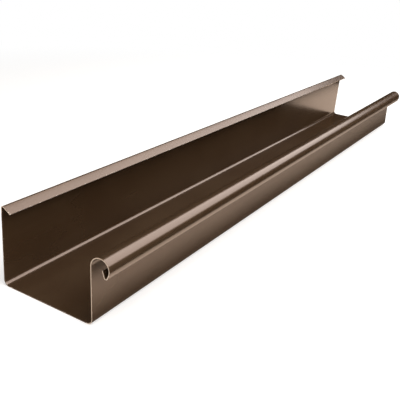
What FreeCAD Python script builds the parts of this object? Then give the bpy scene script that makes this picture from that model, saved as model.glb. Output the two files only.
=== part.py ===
import FreeCAD, Part
import math
import os

# Box gutter section, folded from one strip of coated sheet and cut square at both ends.
#
# Frame: X runs along the gutter, -Y is the front with the bead, +Y is the rear wall,
# Z is up. The origin is the centre of the bottom's underside.
# Sizes are in millimetres and angles in degrees.

# Overall sizes, over the outside of the sheet
LENGTH = 1000.0
BOTTOM_WIDTH = 122.0
REAR_HEIGHT = 92.5
FRONT_HEIGHT = 78.0          # to the top of the bead
FRONT_LEAN = 2.5             # of the front wall off upright, towards the rear
SHEET = 1.0                  # thickness of the sheet

# Folds, by the radius on the inside of the fold
BOTTOM_FOLD_RADIUS = 6.0
FLANGE_FOLD_RADIUS = 1.5
HOOK_FOLD_RADIUS = 1.3

# Flange along the top of the rear wall, which leads water back into the gutter
FLANGE_WIDTH = 13.6
FLANGE_SLOPE = 31.0          # below level

# Bead along the top of the front wall, rolled outwards
BEAD_DIAMETER = 23.0
BEAD_SWEEP = 206.0           # how far the round goes, from the wall over the top
BEAD_TAIL = 3.2              # flat part between the round and the hook
LIP_WIDTH = 7.2              # flat part after the hook, up inside the bead
LIP_LEAN = 20.0              # off upright, towards the wall

RIGHT_ANGLE = 90.0
FULL_TURN = 360.0


def point(y, z):
    """A point in the plane of the cross-section."""
    return FreeCAD.Vector(0, y, z)


def ahead_of(heading):
    return point(math.cos(math.radians(heading)), math.sin(math.radians(heading)))


def left_of(heading):
    return ahead_of(heading + RIGHT_ANGLE)


def flat(length):
    """One flat part of the strip: how far the middle of the sheet runs, and its turn."""
    return (length, 0.0)


def fold(inside_radius, turn):
    """One fold of the strip: how far the middle of the sheet runs, and its turn."""
    middle_radius = inside_radius + SHEET / 2
    return (middle_radius * math.radians(abs(turn)), turn)


def travel(spot, heading, run, turn):
    """Where a strip that starts at a spot gets to, and which way it then heads."""
    if turn == 0:
        return spot + ahead_of(heading) * run, heading
    radius = run / math.radians(turn)
    centre = spot + left_of(heading) * radius
    return centre - left_of(heading + turn) * radius, heading + turn


def side_of(parts, spot, heading, aside):
    """The edges of one face of the sheet, a distance to the left of its middle."""
    edges = []
    for run, turn in parts:
        stations = [travel(spot, heading, run * share, turn * share) for share in (0, 0.5, 1)]
        first, middle, last = [at + left_of(way) * aside for at, way in stations]
        if turn == 0:
            edges.append(Part.makeLine(first, last))
        else:
            edges.append(Part.Arc(first, middle, last).toShape())
        spot, heading = stations[-1]
    return edges


def strip_section(parts, spot, heading):
    """The closed cross-section of a folded strip with two cut edges."""
    upper = side_of(parts, spot, heading, SHEET / 2)
    lower = side_of(parts, spot, heading, -SHEET / 2)
    start_cut = Part.makeLine(lower[0].firstVertex().Point, upper[0].firstVertex().Point)
    end_cut = Part.makeLine(upper[-1].lastVertex().Point, lower[-1].lastVertex().Point)
    loop = [start_cut] + upper + [end_cut] + lower
    return Part.Face(Part.Wire(Part.__sortEdges__(loop)))


def front_wall_width():
    """How far the front wall's outside runs, from the bottom's corner up to the bead."""
    bead_radius = BEAD_DIAMETER / 2
    lean = math.radians(FRONT_LEAN)
    height = FRONT_HEIGHT - bead_radius - (bead_radius - SHEET) * math.sin(lean)
    return height / math.cos(lean)


def gutter_parts():
    """The strip's flats and folds, from the flange's free edge to the bead's lip."""
    bottom_corner = BOTTOM_FOLD_RADIUS + SHEET
    flange_corner = FLANGE_FOLD_RADIUS + SHEET
    bead_radius = BEAD_DIAMETER / 2
    flange_turn = FLANGE_SLOPE + RIGHT_ANGLE
    hook_turn = FULL_TURN - LIP_LEAN + FRONT_LEAN - BEAD_SWEEP
    front_turn = RIGHT_ANGLE + FRONT_LEAN
    front_setback = bottom_corner * math.tan(math.radians(front_turn / 2))
    return [
        flat(FLANGE_WIDTH - flange_corner),
        fold(FLANGE_FOLD_RADIUS, -flange_turn),
        flat(REAR_HEIGHT - flange_corner - bottom_corner),
        fold(BOTTOM_FOLD_RADIUS, -RIGHT_ANGLE),
        flat(BOTTOM_WIDTH - bottom_corner - front_setback),
        fold(BOTTOM_FOLD_RADIUS, -front_turn),
        flat(front_wall_width() - front_setback),
        fold(bead_radius - SHEET, BEAD_SWEEP),
        flat(BEAD_TAIL),
        fold(HOOK_FOLD_RADIUS, hook_turn),
        flat(LIP_WIDTH),
    ]


def flange_edge():
    """The middle of the flange's free edge."""
    corner = FLANGE_FOLD_RADIUS + SHEET
    fold_centre = point(BOTTOM_WIDTH / 2 - corner, REAR_HEIGHT - corner)
    fold_start = fold_centre + left_of(FLANGE_SLOPE) * (corner - SHEET / 2)
    return fold_start - ahead_of(FLANGE_SLOPE) * (FLANGE_WIDTH - corner)


def gutter_section():
    section = strip_section(gutter_parts(), flange_edge(), FLANGE_SLOPE)
    section.translate(FreeCAD.Vector(-LENGTH / 2, 0, 0))
    return section.extrude(FreeCAD.Vector(LENGTH, 0, 0))


os.makedirs("parts", exist_ok=True)
gutter_section().exportStep("parts/gutter_section.step")
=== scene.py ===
import math
from collections import namedtuple

import bmesh
import bpy
from mathutils import Euler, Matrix, Quaternion, Vector, noise


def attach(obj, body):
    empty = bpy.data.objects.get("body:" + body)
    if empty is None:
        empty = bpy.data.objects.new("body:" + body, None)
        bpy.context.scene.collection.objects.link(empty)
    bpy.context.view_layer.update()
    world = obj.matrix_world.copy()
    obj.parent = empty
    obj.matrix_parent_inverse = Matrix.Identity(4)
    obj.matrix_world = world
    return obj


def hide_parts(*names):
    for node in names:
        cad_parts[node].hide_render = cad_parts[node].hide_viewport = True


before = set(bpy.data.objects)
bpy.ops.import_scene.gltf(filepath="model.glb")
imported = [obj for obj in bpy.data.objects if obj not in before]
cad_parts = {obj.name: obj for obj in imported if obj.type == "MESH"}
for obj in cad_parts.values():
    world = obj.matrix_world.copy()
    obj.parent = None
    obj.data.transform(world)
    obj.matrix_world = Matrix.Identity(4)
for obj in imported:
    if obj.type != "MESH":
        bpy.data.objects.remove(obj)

# Box gutter section, folded from one strip of brown coated sheet, in a pale studio.
#
# Frame: X runs along the gutter, -Y is the front with the bead, +Y is the rear wall,
# Z is up. The origin is the centre of the bottom's underside.

MM = 0.001                   # in metres
RIGHT_ANGLE = 90.0
FULL_TURN = 360.0

# Sizes of the gutter, over the outside of the sheet, in millimetres and degrees
LENGTH = 1000.0
BOTTOM_WIDTH = 122.0
REAR_HEIGHT = 92.5
FRONT_HEIGHT = 78.0          # to the top of the bead
FRONT_LEAN = 2.5             # of the front wall off upright, towards the rear
SHEET = 1.0                  # thickness of the sheet
BOTTOM_FOLD_RADIUS = 6.0     # on the inside, like the other folds
FLANGE_FOLD_RADIUS = 1.5
HOOK_FOLD_RADIUS = 1.3
FLANGE_WIDTH = 13.6
FLANGE_SLOPE = 31.0          # below level
BEAD_DIAMETER = 23.0
BEAD_SWEEP = 206.0           # how far the round goes, from the wall over the top
BEAD_TAIL = 3.2              # flat part between the round and the hook
LIP_WIDTH = 7.2              # flat part after the hook, up inside the bead
LIP_LEAN = 20.0              # off upright, towards the wall

# How finely the skin follows the strip, in millimetres and degrees
FOLD_STEP = 4.0              # between stations round a fold
FLAT_STEP = 5.0              # between stations across a flat
LENGTH_STEP = 8.0            # between stations along the gutter
FEWEST_STEPS = 2             # across any flat or fold
EDGE_CHAMFER = 0.12          # broken arris of the cut edges
SHARP_ANGLE = 25.0           # edges that turn more are shaded sharp

# Waves of the flats, in millimetres
WAVE_DEPTH = 0.12            # how far the sheet dishes inwards, at most
WAVE_LENGTH = 190.0          # along the gutter
WAVE_WIDTH = 70.0            # across the strip
WAVE_SLICE = 3.7             # which level of the noise the waves are read from
STIFF_WIDTH = 40.0           # flats up to this width don't wave

# Coating and metal, as linear colour
BROWN_DEEP = (0.048, 0.026, 0.0125, 1.0)
BROWN_PALE = (0.064, 0.038, 0.0200, 1.0)
SHEEN_TINT = (1.0, 0.86, 0.78, 1.0)
BARE_METAL = (0.60, 0.58, 0.54, 1.0)
BARE_METAL_DULL = (0.44, 0.42, 0.39, 1.0)
COAT_INDEX = 1.75
COAT_ROUGHNESS = (0.18, 0.23)          # from the smoothest grain to the roughest
METAL_ROUGHNESS = 0.38
METAL_SHARE = 0.85                     # of bare metal, under a thin oxide
TONE_SHARES = (0.6, 0.4)               # of the drift and of the streaks in the brown's tone
TONE_RANGE = (0.35, 0.65)              # of that tone, from the deep brown to the pale
GRAIN_RANGE = (0.3, 0.7)

# Scuffs beside the cut edges: the coating is off where the chips' noise is above a level
WEAR_REACH = 3.0                       # in millimetres
WEAR_LEVELS = (0.60, 0.86)             # at the edge, and from the end of the reach on
WEAR_SOFTNESS = 0.03

# Bump, in millimetres
PEEL_HEIGHT = 0.001                    # fine orange peel of the coating
SAG_HEIGHT = 0.05                      # slow, long unevenness
BUMP_STRENGTH = 0.5

# Patterns over the sheet: cells per metre, levels of detail, and the share of the cells along
# each axis, which is under 1 where they are drawn out
EVEN = (1.0, 1.0, 1.0)
DRIFT = (9.0, 3.0, EVEN)
STREAKS = (30.0, 4.0, (0.08, 1.0, 1.0))
GRAIN = (900.0, 2.0, EVEN)
CHIPS = (700.0, 4.0, EVEN)
METAL_GRAIN = (1500.0, 2.0, EVEN)
PEEL = (420.0, 2.0, EVEN)
SAG = (14.0, 2.0, (0.5, 1.0, 1.0))

# Camera, in metres and degrees
CAMERA_PLACE = (-0.8965, -0.3939, 0.3601)
CAMERA_AZIMUTH = -60.4
CAMERA_ELEVATION = 23.0
CAMERA_ROLL = 5.2
CAMERA_LENS = 56.1                     # millimetres
CAMERA_REACH = (0.01, 50.0)

# Softbox that lights the matt part of every surface, in metres and degrees
SOFTBOX_MIDDLE = (0.4, -0.5, 0.96)
SOFTBOX_SIZE = (3.0, 1.3)
SOFTBOX_TURN = (26.0, -4.0, 0.0)       # pitch, roll and yaw
SOFTBOX_RADIANCE = 2.1
SOFTBOX_COLOUR = (1.0, 0.95, 0.90)

# Long face that glossy surfaces mirror in its place
SHEEN_MIDDLE = (1.35, -0.42, 0.769)
SHEEN_TURN = (24.7, -12.9, 4.4)
SHEEN_CORNERS = (                      # along and across from the middle, and share of the radiance
    ((-1.75, 0.47), 1.40),
    ((-1.75, -0.34), 1.20),
    ((1.95, -0.82), 0.60),
    ((1.95, 0.54), 1.25),
)
SHEEN_RADIANCE = 3.35
SHEEN_COLOUR = (1.0, 0.90, 0.85, 1.0)
LATER_SHEEN = 0.1                      # share of it left after a second bounce
FIRST_BOUNCE = (1.4, 1.6)              # ray depths between the first bounce and the second

# Black cloths that only glossy surfaces see, painted dark reflections in their places: two opposite corners
# in metres, which way the shade is graded, and the shade where it starts and where it ends
FLAGS = {
    # upright, along the front of the gutter
    "front_flag": ((-0.55, -0.132, 0.0), (1.25, -0.132, 0.088), "level", 1.0, 1.0),
    # upright, well behind the gutter and well beyond its far end
    "rear_flag": ((-0.1, 0.5, 0.05), (3.15, 0.5, 2.2), "level", 1.0, 1.0),
    "end_flag": ((3.15, -2.0, 0.03), (3.15, 0.5, 2.2), "level", 1.0, 1.0),
    # upright, across the gutter just beyond its far end
    "fold_flag": ((0.62, -0.07, 0.045), (0.62, 0.05, 0.14), "level", 0.85, 0.85),
    # upright, close to the foot of the front wall, as painted contact shade in the reflections, darkest at
    # the floor
    "toe_flag": ((-0.55, -0.068, 0.001), (0.9, -0.068, 0.033), "upward", 0.9, 0.0),
    # lying on the floor, at the foot of the front wall, in front of it and behind the gutter; the first two
    # are painted contact shade in the reflections, the one in front darkening towards the far end
    "toe_strip": ((-0.55, -0.068, 0.001), (1.25, -0.0575, 0.001), "level", 0.85, 0.85),
    "floor_flag": ((-0.55, -0.14, 0.001), (1.25, -0.068, 0.001), "along", 0.05, 0.95),
    "back_flag": ((-0.5, 0.063, 0.001), (1.3, 0.5, 0.001), "level", 0.85, 0.85),
}
# Which of a flag's four corners have the last shade
GRADES = {"level": (0, 0, 0, 0), "upward": (0, 0, 1, 1), "along": (0, 1, 1, 0)}
BLACK = (0.02, 0.02, 0.02, 1.0)

# Pale studio
WHITE = (1.0, 1.0, 1.0)
MIRRORED_WHITE = (1.2, 0.96, 0.78)     # as glossy surfaces show it
AMBIENT = 0.3                          # what the studio's walls give to matt surfaces
FLOOR_SIZE = 12.0
FLOOR_TONE = 0.80
FLOOR_LIFT = 0.45                      # glow of the floor for the camera, near the object
FLOOR_FADE = (0.7, 1.2)                # metres from the object over which it turns plain white


# One place on the middle of the sheet, in millimetres and degrees: where it is, which way the
# strip heads, how far it is along the strip from the flange's free edge, and the share of a
# wave that the sheet takes there
Station = namedtuple("Station", "place heading distance give")


def point(y, z):
    """A point in the plane of the cross-section."""
    return Vector((0.0, y, z))


def ahead_of(heading):
    return point(math.cos(math.radians(heading)), math.sin(math.radians(heading)))


def left_of(heading):
    return ahead_of(heading + RIGHT_ANGLE)


def flat(length):
    """One flat part of the strip: how far the middle of the sheet runs, and its turn."""
    return (length, 0.0)


def fold(inside_radius, turn):
    """One fold of the strip: how far the middle of the sheet runs, and its turn."""
    return ((inside_radius + SHEET / 2) * math.radians(abs(turn)), turn)


def travel(spot, heading, run, turn):
    """Where a strip that starts at a spot gets to, and which way it then heads."""
    if turn == 0:
        return spot + ahead_of(heading) * run, heading
    radius = run / math.radians(turn)
    centre = spot + left_of(heading) * radius
    return centre - left_of(heading + turn) * radius, heading + turn


def strip_parts():
    """Flats and folds from the flange's free edge to the bead's lip."""
    bottom_corner = BOTTOM_FOLD_RADIUS + SHEET
    flange_corner = FLANGE_FOLD_RADIUS + SHEET
    bead_radius = BEAD_DIAMETER / 2
    front_turn = RIGHT_ANGLE + FRONT_LEAN
    front_setback = bottom_corner * math.tan(math.radians(front_turn / 2))
    lean = math.radians(FRONT_LEAN)
    wall_height = FRONT_HEIGHT - bead_radius - (bead_radius - SHEET) * math.sin(lean)
    return [
        flat(FLANGE_WIDTH - flange_corner),
        fold(FLANGE_FOLD_RADIUS, -(FLANGE_SLOPE + RIGHT_ANGLE)),
        flat(REAR_HEIGHT - flange_corner - bottom_corner),
        fold(BOTTOM_FOLD_RADIUS, -RIGHT_ANGLE),
        flat(BOTTOM_WIDTH - bottom_corner - front_setback),
        fold(BOTTOM_FOLD_RADIUS, -front_turn),
        flat(wall_height / math.cos(lean) - front_setback),
        fold(bead_radius - SHEET, BEAD_SWEEP),
        flat(BEAD_TAIL),
        fold(HOOK_FOLD_RADIUS, FULL_TURN - LIP_LEAN + FRONT_LEAN - BEAD_SWEEP),
        flat(LIP_WIDTH),
    ]


def strip_start():
    """The middle of the flange's free edge."""
    corner = FLANGE_FOLD_RADIUS + SHEET
    centre = point(BOTTOM_WIDTH / 2 - corner, REAR_HEIGHT - corner)
    start = centre + left_of(FLANGE_SLOPE) * (corner - SHEET / 2)
    return start - ahead_of(FLANGE_SLOPE) * (FLANGE_WIDTH - corner)


def strip_stations():
    """The stations across the strip, from the flange's free edge to the lip's."""
    spot, heading, gone = strip_start(), FLANGE_SLOPE, 0.0
    stations = [Station(spot, heading, gone, 0.0)]
    for run, turn in strip_parts():
        steps = max(FEWEST_STEPS, math.ceil(abs(turn) / FOLD_STEP if turn else run / FLAT_STEP))
        shares = [k / steps for k in range(1, steps + 1)]
        if len(stations) == 1:
            shares.insert(0, EDGE_CHAMFER / run)
        for share in shares:
            place, way = travel(spot, heading, run * share, turn * share)
            give = math.sin(math.pi * share) if not turn and run > STIFF_WIDTH else 0.0
            stations.append(Station(place, way, gone + run * share, give))
        spot, heading, gone = place, way, gone + run
    chamfer = Station(spot - ahead_of(heading) * EDGE_CHAMFER, heading, gone - EDGE_CHAMFER, 0.0)
    stations.insert(-1, chamfer)
    return stations


def length_stations():
    """Places along the gutter, from end to end."""
    steps = math.ceil(LENGTH / LENGTH_STEP)
    inner = [-LENGTH / 2 + LENGTH * k / steps for k in range(1, steps)]
    ends = [-LENGTH / 2, -LENGTH / 2 + EDGE_CHAMFER]
    return ends + inner + [-x for x in reversed(ends)]


def dish(x, distance):
    """A long, lazy wave in the flats, between nothing and the full depth."""
    wave = noise.noise(Vector((x / WAVE_LENGTH, distance / WAVE_WIDTH, WAVE_SLICE)))
    return WAVE_DEPTH * (1 + wave) / 2


def bare_unless_painted_shade(distance):
    """Bare metal at the cut ends, but nothing at the ends of the rear wall and the bottom, which keep the
    brown as a painted shade that darkens them.
    """
    runs = [run for run, turn in strip_parts()]
    flange, rear_and_bottom = sum(runs[:2]), sum(runs[:5])
    return 0.0 if flange < distance < rear_and_bottom else 1.0


def sheet_side(builder, across, along, aside):
    """Rows of points over one side of the sheet: 1 is its left, -1 its right."""
    edge_gap = builder.verts.layers.float["edge_gap"]
    first, last = across[0], across[-1]
    rows = []
    for x in along:
        row = []
        for station in across:
            at_rim = abs(x) == LENGTH / 2 or station in (first, last)
            half = SHEET / 2 - (EDGE_CHAMFER if at_rim else 0.0)
            inward = station.give * dish(x, station.distance)
            spot = station.place + left_of(station.heading) * (aside * half - inward)
            vert = builder.verts.new((x * MM, spot.y * MM, spot.z * MM))
            gaps = (LENGTH / 2 - abs(x), station.distance, last.distance - station.distance)
            vert[edge_gap] = min(gaps)
            row.append(vert)
        rows.append(row)
    return rows


def cut_faces(left, right, across):
    """Corners of the faces that close the sheet at its cut edges, and how bare each is; the rear wall's and
    the bottom's ends stay brown as painted shade.
    """
    cuts = []
    for j, station in enumerate(across[:-1]):
        # The rear wall's and the bottom's ends get nothing, so they keep the brown as painted shade
        bare_or_shade = bare_unless_painted_shade(station.distance)
        cuts.append(((left[0][j], left[0][j + 1], right[0][j + 1], right[0][j]), bare_or_shade))
        cuts.append(((left[-1][j + 1], left[-1][j], right[-1][j], right[-1][j + 1]), bare_or_shade))
    for i in range(len(left) - 1):
        cuts.append(((left[i + 1][0], left[i][0], right[i][0], right[i + 1][0]), 1.0))
        cuts.append(((left[i][-1], left[i + 1][-1], right[i + 1][-1], right[i][-1]), 1.0))
    return cuts


def build_skin(name):
    """The whole sheet as one closed mesh, with how bare and how near an edge each point is; the rear wall's
    and the bottom's cut ends are not bare but brown, as painted shade.
    """
    across, along = strip_stations(), length_stations()

    def build(builder):
        builder.verts.layers.float.new("edge_gap")
        bare = builder.faces.layers.float.new("bare")
        left, right = [sheet_side(builder, across, along, aside) for aside in (1.0, -1.0)]
        for i in range(len(along) - 1):
            for j in range(len(across) - 1):
                builder.faces.new((left[i][j], left[i + 1][j], left[i + 1][j + 1], left[i][j + 1]))
                builder.faces.new((right[i][j], right[i][j + 1], right[i + 1][j + 1], right[i + 1][j]))
        for corners, bare_or_shade in cut_faces(left, right, across):
            builder.faces.new(corners)[bare] = bare_or_shade
        bmesh.ops.recalc_face_normals(builder, faces=builder.faces)
        for face in builder.faces:
            face.smooth = True

    skin = add_mesh(name, build)
    skin.data.set_sharp_from_angle(angle=math.radians(SHARP_ANGLE))
    return skin


def add_mesh(name, build):
    """A new object whose mesh the given function builds."""
    mesh = bpy.data.meshes.new(name)
    builder = bmesh.new()
    build(builder)
    builder.to_mesh(mesh)
    builder.free()
    thing = bpy.data.objects.new(name, mesh)
    bpy.context.scene.collection.objects.link(thing)
    return thing


class Nodes:
    """Short hand for building a material's or world's node tree."""

    # A mix node's two inputs and its output, for each kind of value
    MIX_SOCKETS = {"RGBA": (6, 7, 2), "FLOAT": (2, 3, 0)}

    def __init__(self, owner):
        owner.use_nodes = True
        self.tree = owner.node_tree
        self.tree.nodes.clear()

    def add(self, kind, settings=None, **inputs):
        """A new node with its settings, and its inputs by name with _ for a space."""
        node = self.tree.nodes.new(kind)
        for key, value in (settings or {}).items():
            setattr(node, key, value)
        for key, value in inputs.items():
            self.feed(node, key.replace("_", " "), value)
        return node

    def feed(self, node, key, value):
        """Link an input to another node's output, or set it to a plain value."""
        socket = node.inputs[key]
        if isinstance(value, bpy.types.NodeSocket):
            self.tree.links.new(value, socket)
        else:
            socket.default_value = value

    def mix(self, share, low, high, kind="RGBA"):
        """Low where the share is nothing and high where it is one."""
        first, second, result = self.MIX_SOCKETS[kind]
        node = self.add("ShaderNodeMix", {"data_type": kind}, Factor=share)
        self.feed(node, first, low)
        self.feed(node, second, high)
        return node.outputs[result]

    def ramp(self, value, start, end, low=0.0, high=1.0):
        """A smooth step from low to high while the value goes from start to end."""
        smooth = {"interpolation_type": "SMOOTHSTEP"}
        node = self.add(
            "ShaderNodeMapRange", smooth, Value=value, From_Min=start, From_Max=end, To_Min=low, To_Max=high
        )
        return node.outputs["Result"]

    def maths(self, operation, first, second):
        node = self.add("ShaderNodeMath", {"operation": operation})
        self.feed(node, 0, first)
        self.feed(node, 1, second)
        return node.outputs[0]

    def weighed(self, first, second, shares):
        """The sum of two values, each times its share."""
        first, second = [self.maths("MULTIPLY", *pair) for pair in zip((first, second), shares)]
        return self.maths("ADD", first, second)

    def cloud(self, place, pattern):
        """One of the patterns over the sheet, as soft noise."""
        scale, detail, stretch = pattern
        spot = self.add("ShaderNodeMapping", Vector=place, Scale=stretch).outputs[0]
        return self.add("ShaderNodeTexNoise", Vector=spot, Scale=scale, Detail=detail).outputs["Fac"]

    def blend(self, share, first, second):
        """A mix of two shaders."""
        node = self.add("ShaderNodeMixShader", Fac=share)
        self.feed(node, 1, first)
        self.feed(node, 2, second)
        return node.outputs[0]

    def attribute(self, name):
        return self.add("ShaderNodeAttribute", {"attribute_name": name}).outputs["Fac"]


def coated_sheet():
    """Satin brown coil coating over bare metal that shows at the cut edges, but not at the rear wall's and
    the bottom's ends, which stay brown as painted shade.
    """
    material = bpy.data.materials.new("brown_coated_sheet")
    n = Nodes(material)
    place = n.add("ShaderNodeTexCoord").outputs["Object"]

    tone = n.weighed(n.cloud(place, DRIFT), n.cloud(place, STREAKS), TONE_SHARES)
    brown = n.mix(n.ramp(tone, *TONE_RANGE), BROWN_DEEP, BROWN_PALE)
    coat_roughness = n.ramp(n.cloud(place, GRAIN), *GRAIN_RANGE, *COAT_ROUGHNESS)

    wear_level = n.ramp(n.attribute("edge_gap"), 0.0, WEAR_REACH, *WEAR_LEVELS)
    scuffed = n.ramp(n.maths("SUBTRACT", n.cloud(place, CHIPS), wear_level), 0.0, WEAR_SOFTNESS)
    # Where "bare" is nothing, at the rear wall's and the bottom's ends, the brown stays as painted shade
    metal = n.maths("MAXIMUM", n.attribute("bare"), scuffed)
    metal_tone = n.mix(n.cloud(place, METAL_GRAIN), BARE_METAL_DULL, BARE_METAL)

    height = n.weighed(n.cloud(place, PEEL), n.cloud(place, SAG), (PEEL_HEIGHT, SAG_HEIGHT))
    bump = n.add("ShaderNodeBump", Height=height, Strength=BUMP_STRENGTH, Distance=MM)

    shader = n.add(
        "ShaderNodeBsdfPrincipled",
        Base_Color=n.mix(metal, brown, metal_tone),
        Metallic=n.maths("MULTIPLY", metal, METAL_SHARE),
        Roughness=n.mix(metal, coat_roughness, METAL_ROUGHNESS, "FLOAT"),
        IOR=COAT_INDEX,
        Specular_Tint=SHEEN_TINT,
        Normal=bump.outputs[0],
    )
    n.add("ShaderNodeOutputMaterial", Surface=shader.outputs[0])
    return material


def seen_directly(n):
    """One for rays of the camera and of mirror-like or clear surfaces, else nothing."""
    path = n.add("ShaderNodeLightPath").outputs
    mirrored = n.maths("MAXIMUM", path["Is Glossy Ray"], path["Is Transmission Ray"])
    return n.maths("MAXIMUM", path["Is Camera Ray"], mirrored)


def pale(n, share=1.0):
    """White, or the warm white of the studio for rays of mirror-like surfaces."""
    mirrored = n.add("ShaderNodeLightPath").outputs["Is Glossy Ray"]
    white, warm = [(*(share * value for value in tone), 1.0) for tone in (WHITE, MIRRORED_WHITE)]
    return n.mix(mirrored, white, warm)


def floor_material():
    """Pale floor that is lit and shaded near the object and plain white further off."""
    material = bpy.data.materials.new("pale_floor")
    n = Nodes(material)
    place = n.add("ShaderNodeTexCoord").outputs["Object"]
    distance = n.add("ShaderNodeVectorMath", {"operation": "LENGTH"}, Vector=place).outputs["Value"]
    lit = n.add("ShaderNodeBsdfDiffuse", Color=pale(n, FLOOR_TONE))
    glow = n.maths("MULTIPLY", seen_directly(n), FLOOR_LIFT)
    lift = n.add("ShaderNodeEmission", Color=pale(n), Strength=glow)
    near = n.add("ShaderNodeAddShader")
    n.feed(near, 0, lit.outputs[0])
    n.feed(near, 1, lift.outputs[0])
    white = n.add("ShaderNodeEmission", Color=pale(n), Strength=seen_directly(n))
    surface = n.blend(n.ramp(distance, *FLOOR_FADE), near.outputs[0], white.outputs[0])
    n.add("ShaderNodeOutputMaterial", Surface=surface)
    return material


def flag_material():
    """Black cloth that lets through what its shade leaves over."""
    material = bpy.data.materials.new("black_flag")
    n = Nodes(material)
    clear = n.add("ShaderNodeBsdfTransparent")
    cloth = n.add("ShaderNodeBsdfDiffuse", Color=BLACK)
    surface = n.blend(n.attribute("shade"), clear.outputs[0], cloth.outputs[0])
    n.add("ShaderNodeOutputMaterial", Surface=surface)
    return material


def glowing_cloth():
    """Light for one mirroring and little for later ones, so folds don't pass it on."""
    material = bpy.data.materials.new("glowing_cloth")
    n = Nodes(material)
    depth = n.add("ShaderNodeLightPath").outputs["Ray Depth"]
    radiance = n.ramp(depth, *FIRST_BOUNCE, SHEEN_RADIANCE, SHEEN_RADIANCE * LATER_SHEEN)
    strength = n.maths("MULTIPLY", n.attribute("shade"), radiance)
    glow = n.add("ShaderNodeEmission", Color=SHEEN_COLOUR, Strength=strength)
    n.add("ShaderNodeOutputMaterial", Surface=glow.outputs[0])
    return material


def build_card(name, material, corners):
    """A face that only glossy surfaces can see, with a shade at each corner."""
    def build(builder):
        shade = builder.verts.layers.float.new("shade")
        verts = []
        for corner, share in corners:
            verts.append(builder.verts.new(corner))
            verts[-1][shade] = share
        builder.faces.new(verts)

    card = add_mesh(name, build)
    card.data.materials.append(material)
    card.visible_camera = card.visible_diffuse = card.visible_shadow = False
    return card


def flag_corners(start, end, graded, first, last):
    """The corners of a level or an upright flag, each with its shade."""
    (x0, y0, z0), (x1, y1, z1) = start, end
    if z0 == z1:
        corners = [(x0, y0, z0), (x1, y0, z0), (x1, y1, z0), (x0, y1, z0)]
    else:
        corners = [(x0, y0, z0), (x1, y1, z0), (x1, y1, z1), (x0, y0, z1)]
    return [(corner, first + (last - first) * far) for corner, far in zip(corners, GRADES[graded])]


def turned(angles):
    """A pitch about X and a roll about Y, then a yaw about Z."""
    return Euler([math.radians(angle) for angle in angles], "YXZ")


def sheen_corners():
    """The corners of the sheen face, each with its share of the radiance."""
    turn = turned(SHEEN_TURN).to_matrix()
    return [(Vector(SHEEN_MIDDLE) + turn @ Vector((*spot, 0.0)), share) for spot, share in SHEEN_CORNERS]


def build_stage():
    """The floor, the cards round the object and the world."""
    floor = add_mesh("floor", lambda builder: bmesh.ops.create_grid(builder, size=FLOOR_SIZE / 2))
    floor.data.materials.append(floor_material())
    cloth = flag_material()
    cards = [build_card(name, cloth, flag_corners(*flag)) for name, flag in FLAGS.items()]
    cards.append(build_card("sheen_face", glowing_cloth(), sheen_corners()))

    world = bpy.data.worlds.new("studio")
    bpy.context.scene.world = world
    n = Nodes(world)
    strength = n.maths("MAXIMUM", seen_directly(n), AMBIENT)
    glow = n.add("ShaderNodeBackground", Color=pale(n), Strength=strength)
    n.add("ShaderNodeOutputWorld", Surface=glow.outputs[0])


def build_softbox():
    """Lights every matt surface; the glossy ones mirror the sheen face instead."""
    lamp = bpy.data.lights.new("softbox", "AREA")
    lamp.shape = "RECTANGLE"
    lamp.size, lamp.size_y = SOFTBOX_SIZE
    lamp.color = SOFTBOX_COLOUR
    lamp.energy = SOFTBOX_RADIANCE * math.pi * lamp.size * lamp.size_y
    light = bpy.data.objects.new("softbox", lamp)
    light.location = SOFTBOX_MIDDLE
    light.rotation_mode = "YXZ"
    light.rotation_euler = turned(SOFTBOX_TURN)
    light.visible_camera = light.visible_glossy = False
    bpy.context.scene.collection.objects.link(light)


def build_camera():
    azimuth, elevation = math.radians(CAMERA_AZIMUTH), math.radians(CAMERA_ELEVATION)
    back = Vector((
        math.sin(azimuth) * math.cos(elevation),
        -math.cos(azimuth) * math.cos(elevation),
        math.sin(elevation),
    ))
    lens = bpy.data.cameras.new("camera")
    lens.lens = CAMERA_LENS
    lens.clip_start, lens.clip_end = CAMERA_REACH
    camera = bpy.data.objects.new("camera", lens)
    camera.rotation_mode = "QUATERNION"
    camera.location = CAMERA_PLACE
    roll = Quaternion((0.0, 0.0, 1.0), math.radians(CAMERA_ROLL))
    camera.rotation_quaternion = (-back).to_track_quat("-Z", "Y") @ roll
    bpy.context.scene.collection.objects.link(camera)
    bpy.context.scene.camera = camera


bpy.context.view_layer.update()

skin = build_skin("gutter_sheet")
skin.data.materials.append(coated_sheet())
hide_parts("gutter_section")
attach(skin, "root")

build_stage()
build_softbox()
build_camera()
bpy.context.scene.view_settings.view_transform = "Standard"
